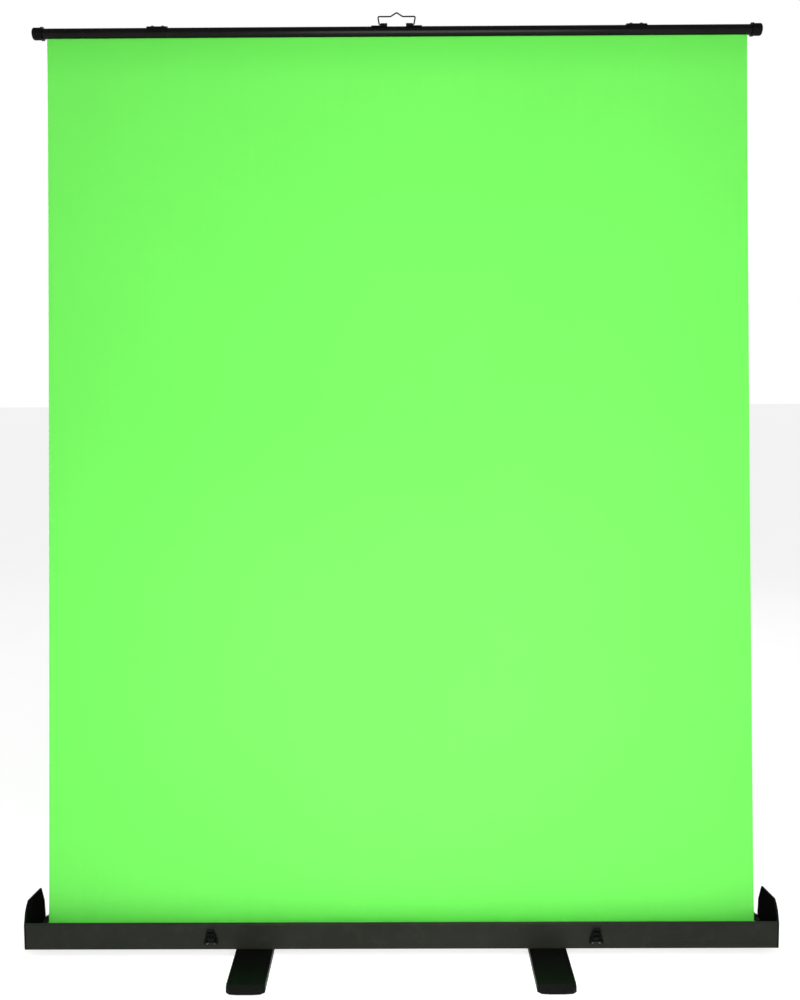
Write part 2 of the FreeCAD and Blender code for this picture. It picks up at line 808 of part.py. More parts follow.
def rollerBracket(side):
    name = "Left" if side < 0 else "Right"
    body = newBody("RollerBracket" + name)
    lift = bracketFace if side > 0 else -bracketFace - 2.5
    plate = [
        (-7.5, floorTop),
        (14, floorTop),
        (14, size["rollerZ"]),
        (-14, size["rollerZ"]),
        (-7.5, floorTop + 10),
    ]
    pad(body, addOutline(onPlane(body, "YZ", lift), plate), 2.5)
    pad(body, addCircle(onPlane(body, "YZ", lift), 14, (0, size["rollerZ"])), 2.5)
    soleLift = bracketFace if side > 0 else -bracketFace - bracketSole
    sole = rectangle((-7.5, floorTop), (14, floorTop + 2.5))
    pad(body, addOutline(onPlane(body, "YZ", soleLift), sole), bracketSole)
    pocket(body, addCircle(onPlane(body, "YZ"), size["pinRadius"], (0, size["rollerZ"])), 1600)
    place(body, 0, size["rollerY"])
    return body


def rollerPin(side, label, reach):
    pin = newBody(label.title().replace("_", ""))
    radius = size["pinRadius"]
    outer = bracketFace + 2.5
    turned(pin, [(reach, 0), (reach, radius), (outer, radius), (outer, 6), (outer + 2, 6), (outer + 2, 0)])
    place(pin, 0, size["rollerY"], size["rollerZ"], (0, 0, 1), 0 if side > 0 else 180)
    keep(pin, label)


def rollerSpring():
    spring = newBody("RollerSpring")
    profile = addCircle(onPlane(spring, "YZ", rollerHalf - 290), 8.5)
    addCircle(profile, 5)
    pad(spring, profile, 250)
    place(spring, 0, size["rollerY"], size["rollerZ"])
    keep(spring, "roller_spring")


def fabricPanel():
    sheetPiece = doc.addObject("Part::Box", "FabricPanel")
    bind(sheetPiece, "Length", size["fabricWidth"])
    bind(sheetPiece, "Width", size["fabricThick"])
    top = size["barHeight"] - size["barRadius"] + size["barSkin"]
    bind(sheetPiece, "Height", top - size["rollerZ"])
    place(sheetPiece, -size["fabricWidth"] / 2, size["fabricFront"], size["rollerZ"])
    keep(sheetPiece, "fabric_panel")


# Lid, drawn closed about its hinge axis and then turned open

lidHalf = insideLength / 2 - 2
lidOutline = [(3, 3.4), (-3.5, 40), (-22.5, 77), (-90.5, 87), (-98.9, 79), (-105.5, 70), (-110, 52)]


def onLid(feature, x=0, y=0, z=0, tip=0):
    """Puts a feature at a point of the closed lid, then turns it open about the hinge."""
    turn = math.radians(-size["lidOpen"].number)
    across = y * math.cos(turn) - z * math.sin(turn)
    up = y * math.sin(turn) + z * math.cos(turn)
    place(feature, x, size["hingeY"] + across, size["hingeZ"] + up, (1, 0, 0), -size["lidOpen"] + tip)


def lid():
    outline = doc.addObject("Sketcher::SketchObject", "LidOutline")
    addOutline(outline, lidOutline, closed=False)
    place(outline, 0, 0, 0)
    skin = doc.addObject("Part::Offset2D", "LidSkin")
    skin.Source = outline
    skin.Mode = "Skin"
    skin.Join = "Intersection"
    skin.Fill = True
    bind(skin, "Value", -size["lidSkin"])
    doc.recompute()
    wall = doc.addObject("Part::Extrusion", "LidWall")
    wall.Base = skin
    wall.DirMode = "Custom"
    wall.Dir = FreeCAD.Vector(0, 0, 1)
    bind(wall, "LengthFwd", lidHalf * 2)
    wall.Symmetric = True
    wall.Solid = True
    hook = newBody("LidHook")
    pad(hook, addCircle(onPlane(hook, "XY"), size["hookOuter"]), lidHalf * 2, middle=True)
    gap = [(0, 0), (-9.5, -3.1), (-9.5, -10), (9.5, -10), (9.5, -3.1)]
    pocket(hook, addOutline(onPlane(hook, "XY"), gap), lidHalf * 2 + 2)
    joined = doc.addObject("Part::Fuse", "LidJoined")
    joined.Base = wall
    joined.Tool = hook
    channel = doc.addObject("Part::Cylinder", "LidChannel")
    bind(channel, "Radius", size["hookInner"])
    bind(channel, "Height", lidHalf * 2 + 2)
    place(channel, 0, 0, -lidHalf - 1)
    shell = doc.addObject("Part::Cut", "LidShell")
    shell.Base = joined
    shell.Tool = channel
    # The outline's plane is turned so that its first axis is Y and its second is Z.
    upright = FreeCAD.Rotation(FreeCAD.Vector(1, 1, 1), 120)
    opened = FreeCAD.Rotation(FreeCAD.Vector(1, 0, 0), -size["lidOpen"].number)
    base = FreeCAD.Vector(0, size["hingeY"].number, size["hingeZ"].number)
    shell.Placement = FreeCAD.Placement(base, opened * upright)
    bind(shell, "Placement.Base.y", size["hingeY"])
    bind(shell, "Placement.Base.z", size["hingeZ"])
    keep(shell, "lid_shell")


# The lid's top wall rises from back to front; its slope tips the handle.
wallSlope = math.degrees(math.atan2(87 - 77, 90.5 - 22.5))
handleY = -62
handleZ = 77 + (22.5 + handleY) * (77 - 87) / (90.5 - 22.5) + 9
handleHalf = 58


def carryHandle():
    mounts = []
    for side in (-1, 1):
        mount = newBody("HandleMount" + ("Left" if side < 0 else "Right"))
        shape = [(-11, -8.9), (11, -8.9), (9, 3), (4, 6), (-4, 6), (-9, 3)]
        near = handleHalf + 5 if side > 0 else -handleHalf - 17
        pad(mount, addOutline(onPlane(mount, "YZ", near), shape), 12)
        bore = addCircle(onPlane(mount, "YZ"), size["pinRadius"] + size["runningFit"])
        pocket(mount, bore, 400)
        onLid(mount, 0, handleY, handleZ, -wallSlope)
        mounts.append(mount)
    group("handle_mounts", mounts)

    grip = 30
    handle = bentWire(
        "CarryHandle",
        [FreeCAD.Vector(x, y, 0) for x, y in
         [(-handleHalf - 14, 0), (-handleHalf, 0), (-handleHalf, grip), (handleHalf, grip),
          (handleHalf, 0), (handleHalf + 14, 0)]],
        size["pinRadius"].number,
        4.6,
    )
    sleeve = Part.makeCylinder(7, 80, FreeCAD.Vector(-40, grip, 0), FreeCAD.Vector(1, 0, 0))
    sleeve = sleeve.makeFillet(2, sleeve.Edges[0:1] + sleeve.Edges[2:3])
    handle.Shape = handle.Shape.fuse(sleeve)
    onLid(handle, 0, handleY, handleZ, -wallSlope)
    keep(handle, "carry_handle")


def latchKeepers():
    keepers = []
    lean = math.degrees(math.atan2(70 - 52, 110 - 105.5))
    for side in (-1, 1):
        hook = newBody("LatchKeeper" + ("Left" if side < 0 else "Right"))
        shape = [(0, 0), (0, 13), (-1.6, 13), (-1.6, 6), (-4.4, 8), (-4.4, 10), (-5.8, 10), (-5.8, 6.6),
                 (-2.4, 3.4), (-2.4, 0)]
        pad(hook, addOutline(onPlane(hook, "YZ"), shape), 16, middle=True)
        onLid(hook, size["latchX"] * side + size["latchShift"], -109.4, 54.4, lean - 90)
        keepers.append(hook)
    group("latch_keepers", keepers)


# Draw latches on the leaning front wall

latchZ = 34
latchLean = Size(
    math.degrees(math.atan2(size["frontLean"].number, (shoulderZ - size["caseBase"]).number)),
    f"(atan2({size['frontLean'].text}; {(shoulderZ - size['caseBase']).text}) / 1 deg)",
)
latchY = wallTurn - size["frontLean"] * (latchZ - size["caseBase"]) / (shoulderZ - size["caseBase"])


def onWall(feature, side, out=0, up=0, along=0):
    """Puts a feature on the front wall, drawn with -Y pointing out and Z up the wall."""
    lean = math.radians(latchLean.number)
    across = -out * math.cos(lean) - up * math.sin(lean)
    rise = up * math.cos(lean) - out * math.sin(lean)
    spot = size["latchX"] * side + size["latchShift"] + along
    place(feature, spot, latchY + across, latchZ + rise, (1, 0, 0), latchLean)


leverPivot = (-4.8, 5)  # across and up from the plate's own corner of the wall
bailPivot = (-6.3, 14)
bailRadius = 1.15


def latchPlate(side):
    name = "Left" if side < 0 else "Right"
    plate = newBody("LatchPlate" + name)
    outline = [(-15, -2), (15, -2), (15, 3), (8.5, 24), (-8.5, 24), (-15, 3)]
    pad(plate, addOutline(onPlane(plate, "XZ"), outline), 1.5)
    gap = [(-4.8, -3), (4.8, -3), (4.8, 8), (3.4, 16.4), (-3.4, 16.4), (-4.8, 8)]
    pocket(plate, addOutline(onPlane(plate, "XZ"), gap), 10)
    for lift in (-12, 10):
        cheek = [(-1.5, 0), (-7.5, 2), (-7.5, 8), (-1.5, 12)]
        pad(plate, addOutline(onPlane(plate, "YZ", lift), cheek), 2)
    pocket(plate, addCircle(onPlane(plate, "YZ"), 1.5, leverPivot), 60)
    onWall(plate, side)
    return plate


def latchRivets(side):
    rivets = []
    for k, (along, up) in enumerate(((0, 20.2), (-7.4, 0.4), (7.4, 0.4))):
        rivet = newBody("LatchRivet" + ("Left" if side < 0 else "Right") + str(k))
        turned(rivet, [(1.5, 0), (1.5, 2.4), (2.3, 1.6), (2.3, 0)], upright=True)
        onWall(rivet, side, 0, up, along)
        bind(rivet, "Placement.Rotation.Angle", latchLean + 90)
        rivets.append(rivet)
    return rivets


def latchLever(side):
    name = "Left" if side < 0 else "Right"
    lever = newBody("LatchLever" + name)
    web = [(-9.6, 2.9), (9.6, 2.9), (9.6, 8), (6, 24), (-6, 24), (-9.6, 8)]
    pad(lever, addOutline(onPlane(lever, "XZ", 3.2), web), 1.6)
    hub = rectangle((-7.0, 2.9), (-2.8, 7.1))
    pad(lever, addOutline(onPlane(lever, "YZ"), hub), 19.2, middle=True)
    window = [(-4.8, 1), (4.8, 1), (4.8, 8), (4.2, 11.4), (-4.2, 11.4), (-4.8, 8)]
    pocket(lever, addOutline(onPlane(lever, "XZ"), window), 30)
    pad(lever, addCircle(onPlane(lever, "YZ"), 1.44, leverPivot), 24.4, middle=True)
    barrel = rectangle((-8, 12), (-4, 16))
    pad(lever, addOutline(onPlane(lever, "YZ"), barrel), 16, middle=True)
    lift = rectangle((-7, 21), (-4, 24.4))
    pad(lever, addOutline(onPlane(lever, "YZ"), lift), 12, middle=True)
    pocket(lever, addCircle(onPlane(lever, "YZ"), bailRadius + 0.15, bailPivot), 60)
    onWall(lever, side)
    keep(lever, "latch_lever_" + name.lower())


def latchBail(side):
    name = "Left" if side < 0 else "Right"
    half = 10.4
    tall = 18
    outline = [(-4, 0), (-half, 0), (-half + 4, tall), (half - 4, tall), (half, 0), (4, 0)]
    points = [FreeCAD.Vector(x, 0, z) for x, z in outline]
    bail = bentWire("LatchBail" + name, points, bailRadius, 1.6)
    onWall(bail, side, -bailPivot[0], bailPivot[1])
    keep(bail, "latch_bail_" + name.lower())


baseChannel()
for side, name in ((-1, "Left"), (1, "Right")):
    endPlate(side, name)
    foot(side, name)
    baseBracket(side)
    topBracket(side)
    barCap(side)
    elbowPin(side)
    for level in ("lower", "upper"):
        arm(level, side)
group("roller_brackets", [rollerBracket(side) for side in (-1, 1)])
endScrews()
footBolts()
pivotPins("base_pivot_pins", "lower", size["pivotZ"])
pivotPins("top_pivot_pins", "upper", topPivotZ)
topBar()
bracketScrews()
fabricSpline()
hangerLugs()
hangerWire()
roller()
rollerPin(-1, "roller_idle_pin", rollerHalf - 20)
rollerPin(1, "spring_shaft", rollerHalf - 300)
rollerSpring()
fabricPanel()
lid()
carryHandle()
latchKeepers()
plates = []
rivets = baseRivets()
for side in (-1, 1):
    plates.append(latchPlate(side))
    rivets += latchRivets(side)
    latchLever(side)
    latchBail(side)
group("latch_plates", plates)
group("case_rivets", rivets)

doc.recompute()
for item in doc.Objects:
    if "Invalid" in item.State or "Error" in item.State:
        raise ValueError(f"{item.Label} failed: {item.State}")
for node in nodes:
    if node.Shape.isNull() or not node.Shape.isValid():
        raise ValueError(f"{node.Label} has no valid shape")
os.makedirs("parts", exist_ok=True)
for node in nodes:
    node.Shape.exportStep(f"parts/{node.Label}.step")
print(len(nodes), "pieces written")
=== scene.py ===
import json
import math

import bmesh
import bpy
import numpy as np
from mathutils import Matrix, Vector, noise


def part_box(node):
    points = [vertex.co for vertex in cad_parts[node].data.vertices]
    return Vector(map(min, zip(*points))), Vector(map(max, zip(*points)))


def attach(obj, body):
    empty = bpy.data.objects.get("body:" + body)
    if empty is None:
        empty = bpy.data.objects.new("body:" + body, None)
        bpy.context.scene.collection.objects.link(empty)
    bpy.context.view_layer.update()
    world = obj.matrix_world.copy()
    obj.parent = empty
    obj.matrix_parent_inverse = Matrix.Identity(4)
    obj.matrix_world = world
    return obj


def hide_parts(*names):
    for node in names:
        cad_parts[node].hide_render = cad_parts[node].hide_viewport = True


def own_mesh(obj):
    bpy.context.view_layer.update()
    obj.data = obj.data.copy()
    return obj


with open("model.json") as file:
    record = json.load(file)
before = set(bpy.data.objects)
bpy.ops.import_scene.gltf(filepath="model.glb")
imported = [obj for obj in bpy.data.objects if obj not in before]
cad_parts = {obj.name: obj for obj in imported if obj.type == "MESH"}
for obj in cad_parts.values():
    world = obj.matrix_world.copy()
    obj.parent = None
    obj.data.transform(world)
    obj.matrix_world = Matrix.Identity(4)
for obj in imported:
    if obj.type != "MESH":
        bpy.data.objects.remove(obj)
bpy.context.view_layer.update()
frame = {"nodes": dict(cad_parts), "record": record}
nodes = frame["nodes"]
scene = bpy.context.scene
print("frame loaded,", len(nodes), "nodes")


# shader sockets as plain arithmetic
class Wire:
    def __init__(self, tree, socket=None):
        self.tree = tree
        self.socket = socket

    def add(self, kind, settings=None, feeds=None, out=0):
        node = self.tree.nodes.new(kind)
        for name, value in (settings or {}).items():
            if name == "stops":
                while len(node.color_ramp.elements) < len(value):
                    node.color_ramp.elements.new(0.5)
                for stop, (spot, shade) in zip(node.color_ramp.elements, value):
                    stop.position = spot
                    stop.color = (*shade, 1) if isinstance(shade, tuple) else (shade, shade, shade, 1)
            else:
                setattr(node, name, value)
        for name, value in (feeds or {}).items():
            if isinstance(value, Wire):
                self.tree.links.new(value.socket, node.inputs[name])
            elif isinstance(value, tuple) and node.inputs[name].type == "RGBA":
                node.inputs[name].default_value = (*value, 1)
            else:
                node.inputs[name].default_value = value
        return Wire(self.tree, node.outputs[out]) if node.outputs else None

    def sum(self, operation, first, second=0.0):
        return self.add("ShaderNodeMath", {"operation": operation}, {0: first, 1: second})

    def __add__(self, other):
        return self.sum("ADD", self, other)

    def __radd__(self, other):
        return self.sum("ADD", other, self)

    def __sub__(self, other):
        return self.sum("SUBTRACT", self, other)

    def __rsub__(self, other):
        return self.sum("SUBTRACT", other, self)

    def __mul__(self, other):
        return self.sum("MULTIPLY", self, other)

    def __rmul__(self, other):
        return self.sum("MULTIPLY", other, self)

    def blend(self, low, high):
        return self.add("ShaderNodeMix", {"data_type": "RGBA"}, {0: self, 6: low, 7: high}, 2)

    def between(self, low, high):
        return self.add(
            "ShaderNodeMapRange", {"interpolation_type": "SMOOTHSTEP"}, {0: self, 1: low, 2: high}
        )


def newMaterial(name, **fixed):
    made = bpy.data.materials.new(name)
    made.use_nodes = True
    tree = made.node_tree
    tree.nodes.clear()
    shader = Wire(tree).add("ShaderNodeBsdfPrincipled", None, fixed)
    Wire(tree).add("ShaderNodeOutputMaterial", None, {"Surface": shader})
    return made, Wire(tree), shader.socket.node


def feed(wire, shader, name):
    wire.tree.links.new(wire.socket, shader.inputs[name])


def layOut(wire, scale=(1, 1, 1), turn=(0, 0, 0)):
    spot = wire.add("ShaderNodeTexCoord", out=3)  # the piece's own coordinates
    return wire.add("ShaderNodeMapping", None, {"Vector": spot, "Scale": scale, "Rotation": turn})


def grain(wire, spot, scale, detail=2.0, rough=0.5):
    return wire.add(
        "ShaderNodeTexNoise", None, {"Vector": spot, "Scale": scale, "Detail": detail, "Roughness": rough}
    )


def bumps(wire, height, depth, strength=1.0):
    return wire.add("ShaderNodeBump", None, {"Height": height, "Distance": depth, "Strength": strength})


# powder coat and enamel: orange peel, faint rubbed patches, a little dust
coats = {
    "caseCoat": dict(
        dark=(0.0110, 0.0120, 0.0088), pale=(0.0144, 0.0154, 0.0120), rough=(0.42, 0.56),
        peel=420, depth=0.00005, gloss=0.075, dust=0.024,
    ),
    "lidCoat": dict(
        dark=(0.0175, 0.0180, 0.0158), pale=(0.0230, 0.0236, 0.0208), rough=(0.42, 0.56),
        peel=420, depth=0.00005, gloss=0.15, dust=0.05,
    ),
    "barEnamel": dict(
        dark=(0.0026, 0.0026, 0.0024), pale=(0.0040, 0.0039, 0.0036), rough=(0.20, 0.28),
        peel=260, depth=0.00003, gloss=0.10, dust=0.008,
    ),
    "blackSteel": dict(
        dark=(0.0020, 0.0020, 0.0020), pale=(0.0036, 0.0036, 0.0034), rough=(0.36, 0.50),
        peel=600, depth=0.00003, gloss=0.045, dust=0.008,
    ),
}


dustTone = (0.22, 0.22, 0.21)


def coatMaterial(name, look):
    made, wire, shader = newMaterial(name, **{"Specular IOR Level": look["gloss"]})
    spot = layOut(wire)
    patches = grain(wire, spot, 9, 4, 0.6)
    peel = grain(wire, spot, look["peel"], 3, 0.55)
    specks = grain(wire, spot, 1500, 1).between(0.66, 0.74)
    film = grain(wire, spot, 38, 5, 0.7).between(0.5, 0.75)
    dust = look["dust"] * film + 0.5 * look["dust"] * specks
    tone = patches.between(0.3, 0.7).blend(look["dark"], look["pale"])
    feed(dust.blend(tone, dustTone), shader, "Base Color")
    low, high = look["rough"]
    feed(low + (high - low) * (0.6 * patches + 0.4 * peel) + 0.8 * dust, shader, "Roughness")
    feed(bumps(wire, peel, look["depth"], 0.6), shader, "Normal")
    return made


# moulded plastic and rubber: spark-eroded skin, flow lines
mouldings = {
    "casePlastic": dict(
        dark=(0.0020, 0.0020, 0.0020), pale=(0.0034, 0.0034, 0.0033), rough=(0.40, 0.56),
        cell=1400, depth=0.00004, gloss=0.06,
    ),
    "fittingNylon": dict(
        dark=(0.0070, 0.0070, 0.0070), pale=(0.0120, 0.0120, 0.0115), rough=(0.46, 0.62),
        cell=1100, depth=0.00005, gloss=0.30,
    ),
    "splinePlastic": dict(
        dark=(0.52, 0.52, 0.50), pale=(0.62, 0.62, 0.60), rough=(0.35, 0.50),
        cell=900, depth=0.00003, gloss=0.45,
    ),
    "padRubber": dict(
        dark=(0.0040, 0.0040, 0.0040), pale=(0.0080, 0.0080, 0.0078), rough=(0.74, 0.90),
        cell=700, depth=0.00010, gloss=0.15,
    ),
}


def mouldMaterial(name, look):
    made, wire, shader = newMaterial(name, **{"Specular IOR Level": look["gloss"]})
    spot = layOut(wire)
    cells = wire.add("ShaderNodeTexVoronoi", {"feature": "F1"}, {"Vector": spot, "Scale": look["cell"]})
    flow = grain(wire, layOut(wire, (1, 6, 6)), 11, 4, 0.6)
    fine = grain(wire, spot, 1.7 * look["cell"], 2)
    feed(flow.between(0.35, 0.7).blend(look["dark"], look["pale"]), shader, "Base Color")
    low, high = look["rough"]
    feed(low + (high - low) * (0.5 * flow + 0.5 * fine), shader, "Roughness")
    feed(bumps(wire, 0.7 * cells + 0.3 * fine, look["depth"], 0.7), shader, "Normal")
    return made


# bare metals: drawn or brushed lines, along a given direction
armRun, armRise = 0.555, 0.932  # from a pivot to its elbow, across and up, in metres
armTilt = math.atan2(armRun, armRise)
metals = {
    "armMetalLeft": dict(
        dark=(0.40, 0.40, 0.41), pale=(0.56, 0.56, 0.56), rough=(0.26, 0.42),
        stretch=(900, 900, 9), turn=(0, armTilt, 0), depth=0.00002,
    ),
    "armMetalRight": dict(
        dark=(0.40, 0.40, 0.41), pale=(0.56, 0.56, 0.56), rough=(0.26, 0.42),
        stretch=(900, 900, 9), turn=(0, -armTilt, 0), depth=0.00002,
    ),
    "tubeMetal": dict(
        dark=(0.42, 0.42, 0.42), pale=(0.58, 0.58, 0.57), rough=(0.30, 0.46),
        stretch=(7, 800, 800), turn=(0, 0, 0), depth=0.00002,
    ),
    "zincSteel": dict(
        dark=(0.30, 0.30, 0.31), pale=(0.52, 0.52, 0.51), rough=(0.24, 0.44),
        stretch=(260, 260, 260), turn=(0, 0, 0), depth=0.00003,
    ),
    "springWire": dict(
        dark=(0.16, 0.16, 0.17), pale=(0.34, 0.34, 0.35), rough=(0.24, 0.38),
        stretch=(500, 500, 500), turn=(0, 0, 0), depth=0.00002,
    ),
}


def metalMaterial(name, look):
    made, wire, shader = newMaterial(name, Metallic=1.0)
    lines = grain(wire, layOut(wire, look["stretch"], look["turn"]), 1, 3, 0.6)
    stains = grain(wire, layOut(wire), 26, 5, 0.65)
    shade = 0.65 * lines + 0.35 * stains
    feed(shade.between(0.3, 0.7).blend(look["dark"], look["pale"]), shader, "Base Color")
    low, high = look["rough"]
    feed(low + (high - low) * (0.5 * lines + 0.5 * stains), shader, "Roughness")
    feed(bumps(wire, lines, look["depth"], 0.5), shader, "Normal")
    return made


# the green cloth: fine warp knit, slight mottling, a denser selvedge, and shade painted into its colour
# just below the bar
cloth = {
    "dark": (0.124, 0.660, 0.078),
    "pale": (0.132, 0.690, 0.084),
    "ends": (0.095, 0.570, 0.058),  # painted shade just below the bar, and the selvedge's own denser tone along the edges
    "rough": 0.86,
    "rib": 0.0011,  # pitch of the knit's wales, in metres
    "course": 0.0014,  # pitch across them
    "selvedge": 0.006,  # width of the heat-cut edge
    "through": 0.06,  # share of the light that comes from behind
    "layer": 0.0007,  # the wound layers' spacing, as seen at the roller's ends
    "topShade": 0.10,  # length below the bar where shade is painted into the cloth's colour, darker towards the bar
    "relief": 0.00012,  # depth of the knit
}


def knitHeight(wire, across, along):
    wales = wire.sum("SINE", across * (2 * math.pi / cloth["rib"]))
    courses = wire.sum("SINE", along * (2 * math.pi / cloth["course"]))
    return 0.5 + 0.3 * wales + 0.2 * wales * courses


def clothMaterial(across, along, edge, wire, made, shader, paintedTopShade=None):
    spot = layOut(wire)
    streaks = grain(wire, layOut(wire, (60, 60, 1.2)), 1, 3)
    mottle = 0.5 * grain(wire, spot, 2.5, 3, 0.5) + 0.2 * streaks + 0.3 * grain(wire, spot, 240, 2)
    tone = mottle.between(0.3, 0.7).blend(cloth["dark"], cloth["pale"])
    if paintedTopShade:
        # painted shade: the colour darkens towards the bar, standing in for the shade under it
        tone = (0.7 * paintedTopShade).blend(tone, cloth["ends"])
    tone = (0.12 * edge).blend(tone, cloth["ends"])
    feed(tone, shader, "Base Color")
    feed(cloth["rough"] + 0.1 * mottle - 0.12 * edge, shader, "Roughness")
    fuzz = grain(wire, spot, 2600, 2)
    height = knitHeight(wire, across, along) + 0.25 * fuzz - 0.3 * edge
    feed(bumps(wire, height, cloth["relief"], 0.55), shader, "Normal")
    back = wire.add("ShaderNodeBsdfTranslucent", None, {"Color": cloth["pale"]})
    mixed = wire.add(
        "ShaderNodeMixShader", None, {0: cloth["through"], 1: Wire(wire.tree, shader.outputs[0]), 2: back}
    )
    last = next(node for node in wire.tree.nodes if node.type == "OUTPUT_MATERIAL")
    wire.tree.links.new(mixed.socket, last.inputs["Surface"])
    return made


def panelCloth():
    made, wire, shader = newMaterial("panelCloth", **{"Specular IOR Level": 0.30, "Sheen Weight": 0.10})
    lay = wire.add("ShaderNodeUVMap", {"uv_map": "cut"})
    across = wire.add("ShaderNodeSeparateXYZ", None, {0: lay})
    along = Wire(wire.tree, across.socket.node.outputs[1])
    far = wire.sum("ABSOLUTE", across - 0.5 * panelWidth)
    edge = far.between(0.5 * panelWidth - cloth["selvedge"], 0.5 * panelWidth - 0.4 * cloth["selvedge"])
    # mask of the painted shade below the bar
    paintedTopShade = along.between(panelLength - cloth["topShade"], panelLength)
    return clothMaterial(across, along, edge, wire, made, shader, paintedTopShade)


def rolledCloth():
    made, wire, shader = newMaterial("rolledCloth", **{"Specular IOR Level": 0.30, "Sheen Weight": 0.10})
    spot = wire.add("ShaderNodeTexCoord", out=3)
    parts = wire.add("ShaderNodeSeparateXYZ", None, {0: spot})
    outs = parts.socket.node.outputs
    up = Wire(wire.tree, outs[2]) - rollCentre[1]
    back = Wire(wire.tree, outs[1]) - rollCentre[0]
    turn = wire.sum("ARCTAN2", up, back) * rollRadius
    reach = wire.sum("SQRT", up * up + back * back)
    layers = wire.sum("SINE", reach * (2 * math.pi / cloth["layer"]))
    inner = 1 - reach.between(rollRadius - 0.0006, rollRadius - 0.0002)
    edge = inner * (0.5 + 0.5 * layers)
    return clothMaterial(Wire(wire.tree, outs[0]), turn, edge, wire, made, shader)


panelLow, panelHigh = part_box("fabric_panel")
panelWidth = panelHigh.x - panelLow.x
panelLength = panelHigh.z - panelLow.z
wrapLow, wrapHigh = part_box("fabric_wrap")
rollCentre = (0.5 * (wrapLow.y + wrapHigh.y), 0.5 * (wrapLow.z + wrapHigh.z))
rollRadius = 0.5 * (wrapHigh.z - wrapLow.z)

finishes = {name: coatMaterial(name, look) for name, look in coats.items()}
finishes.update({name: mouldMaterial(name, look) for name, look in mouldings.items()})
finishes.update({name: metalMaterial(name, look) for name, look in metals.items()})
finishes["panelCloth"] = panelCloth()
finishes["rolledCloth"] = rolledCloth()
finishOfSlot = {
    "dark_aluminium": "caseCoat",
    "lid_aluminium": "lidCoat",
    "bar_enamel": "barEnamel",
    "black_steel": "blackSteel",
    "black_plastic": "casePlastic",
    "fitting_plastic": "fittingNylon",
    "spline_plastic": "splinePlastic",
    "pad_rubber": "padRubber",
    "arm_aluminium": "armMetalLeft",
    "roller_aluminium": "tubeMetal",
    "bright_steel": "zincSteel",
    "spring_steel": "springWire",
    "green_fabric": "rolledCloth",
}
for part in frame["record"]["subparts"]:
    name = part["node"]
    finish = finishOfSlot[part["material_slot"]]
    if finish == "armMetalLeft" and name in ("upper_arm_left", "lower_arm_right"):
        finish = "armMetalRight"
    for place in nodes[name].material_slots:
        place.material = finishes[finish]


# making pieces
def pieceFrom(bm, name, finish, body):
    bmesh.ops.remove_doubles(bm, verts=bm.verts, dist=1e-6)
    bmesh.ops.recalc_face_normals(bm, faces=bm.faces)
    mesh = bpy.data.meshes.new(name)
    bm.to_mesh(mesh)
    bm.free()
    piece = bpy.data.objects.new(name, mesh)
    scene.collection.objects.link(piece)
    mesh.materials.append(finishes[finish])
    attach(piece, body)
    return piece


# the panel: knitted cloth held along its top and bottom, free at its sides
panel = {
    "cells": (74, 94),  # across, down
    "ripple": 0.0016,  # unevenness of the cloth before it is pulled, in metres
    "waves": (3.1, 7.3, 1.1),  # how close the ripples lie across, their seed, and down
    "even": 0.125,  # length below the bar and above the roller that stays even
    "reach": 0.0035,  # most that it may stand off its plane
    "calm": 0.04,  # width along each side where it stands off less
    "thick": 0.0003,
    "crease": 50,  # edges that turn by more degrees stay sharp
    "frames": 24,
}


knit = {
    "quality": 6,
    "mass": 0.12,
    "air_damping": 6,
    "tension_stiffness": 30,
    "compression_stiffness": 30,
    "shear_stiffness": 12,
    "bending_stiffness": 0.4,
    "tension_damping": 12,
    "compression_damping": 12,
    "shear_damping": 10,
    "shrink_min": 0.002,  # the roller's spring keeps it taut
}


def makePanel():
    bm = bmesh.new()
    across, down = panel["cells"]
    bmesh.ops.create_grid(bm, x_segments=across, y_segments=down, size=0.5)
    middle = Vector((0, 0.5 * (panelLow.y + panelHigh.y), 0.5 * (panelLow.z + panelHigh.z)))
    stand = Matrix.Translation(middle) @ Matrix.Rotation(math.pi / 2, 4, "X")
    bmesh.ops.transform(bm, matrix=stand @ Matrix.Diagonal((panelWidth, panelLength, 1, 1)), verts=bm.verts)
    cut = bm.loops.layers.uv.new("cut")
    for face in bm.faces:
        for loop in face.loops:
            loop[cut].uv = (loop.vert.co.x - panelLow.x, loop.vert.co.z - panelLow.z)
    wide, seed, tall = panel["waves"]
    for vert in bm.verts:
        spot = Vector((vert.co.x * wide, seed, vert.co.z * tall))
        toEnd = min(vert.co.z - panelLow.z, panelHigh.z - vert.co.z)
        loose = min(1.0, toEnd / panel["even"])
        vert.co.y += panel["ripple"] * loose * noise.noise(spot)
    mesh = bpy.data.meshes.new("green_panel")
    bm.to_mesh(mesh)
    bm.free()
    sheet = bpy.data.objects.new("green_panel", mesh)
    scene.collection.objects.link(sheet)
    held = sheet.vertex_groups.new(name="held")
    tight = 0.6 * panelLength / down
    held.add(
        [v.index for v in mesh.vertices if v.co.z < panelLow.z + tight or v.co.z > panelHigh.z - tight],
        1.0, "REPLACE",
    )
    pull(sheet)
    for vert in mesh.vertices:
        inward = 0.5 * panelWidth - abs(vert.co.x - middle.x)
        reach = panel["reach"] * min(1.0, max(0.08, inward / panel["calm"]))
        vert.co.y = middle.y + max(-reach, min(reach, vert.co.y - middle.y))
        vert.co.x = max(panelLow.x, min(panelHigh.x, vert.co.x))
    mesh.materials.append(finishes["panelCloth"])
    for face in mesh.polygons:
        face.use_smooth = True
    for kind, settings in (
        ("SUBSURF", {"levels": 1, "render_levels": 1, "boundary_smooth": "PRESERVE_CORNERS"}),
        ("SOLIDIFY", {"thickness": panel["thick"], "offset": 0.0}),
    ):
        step = sheet.modifiers.new(kind, kind)
        for name, value in settings.items():
            setattr(step, name, value)
    bake(sheet)
    sheet.data.set_sharp_from_angle(angle=math.radians(panel["crease"]))
    return sheet


